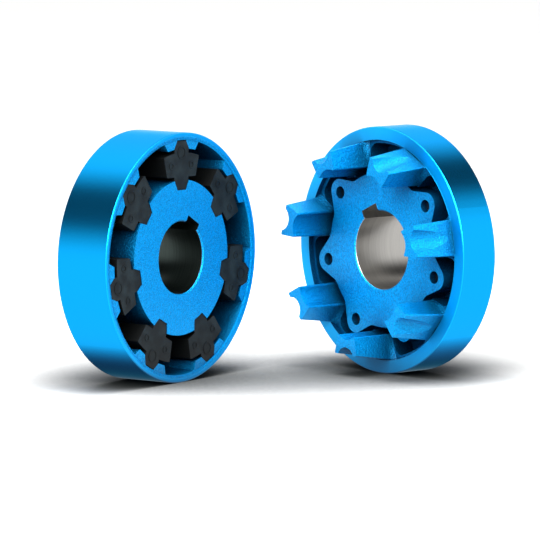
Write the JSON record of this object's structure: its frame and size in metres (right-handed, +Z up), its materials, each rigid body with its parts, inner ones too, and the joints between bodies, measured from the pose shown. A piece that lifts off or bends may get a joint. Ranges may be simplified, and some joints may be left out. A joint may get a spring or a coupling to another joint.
{
  "type": "flexible pin coupling",
  "caption": "Flexible shaft coupling shown as two separated halves: a pocketed hub holding rubber blocks, and a claw ring bolted to a lobed hub, both with keyed bores.",
  "frame": {"origin": "on the pocket half's bore axis, at the middle of that bore's length", "axes": "+Z up; +X along the pocket half's axis, the way its open face with the rubber blocks looks; both halves stand on their rims and the claw half stands ahead and to +Y, its claws toward -Y"},
  "size_m": [0.2355, 0.2771, 0.172],
  "materials": {
    "blue_casting": "satin sky-blue paint over cast iron",
    "block_rubber": "matte black moulded rubber",
    "screw_steel": "dark oiled steel"
  },
  "bodies": {
    "root": {"pocket_hub": "blue_casting", "flexible_block_1": "block_rubber", "flexible_block_2": "block_rubber", "flexible_block_3": "block_rubber", "flexible_block_4": "block_rubber", "flexible_block_5": "block_rubber", "flexible_block_6": "block_rubber", "flexible_block_7": "block_rubber", "claw_ring": "blue_casting", "claw_hub": "blue_casting", "claw_ring_screw_1": "screw_steel", "claw_ring_screw_2": "screw_steel", "claw_ring_screw_3": "screw_steel", "claw_ring_screw_4": "screw_steel", "claw_ring_screw_5": "screw_steel", "claw_ring_screw_6": "screw_steel", "claw_ring_screw_7": "screw_steel", "pocket_set_screw": "screw_steel", "claw_set_screw": "screw_steel"}
  },
  "joints": []
}
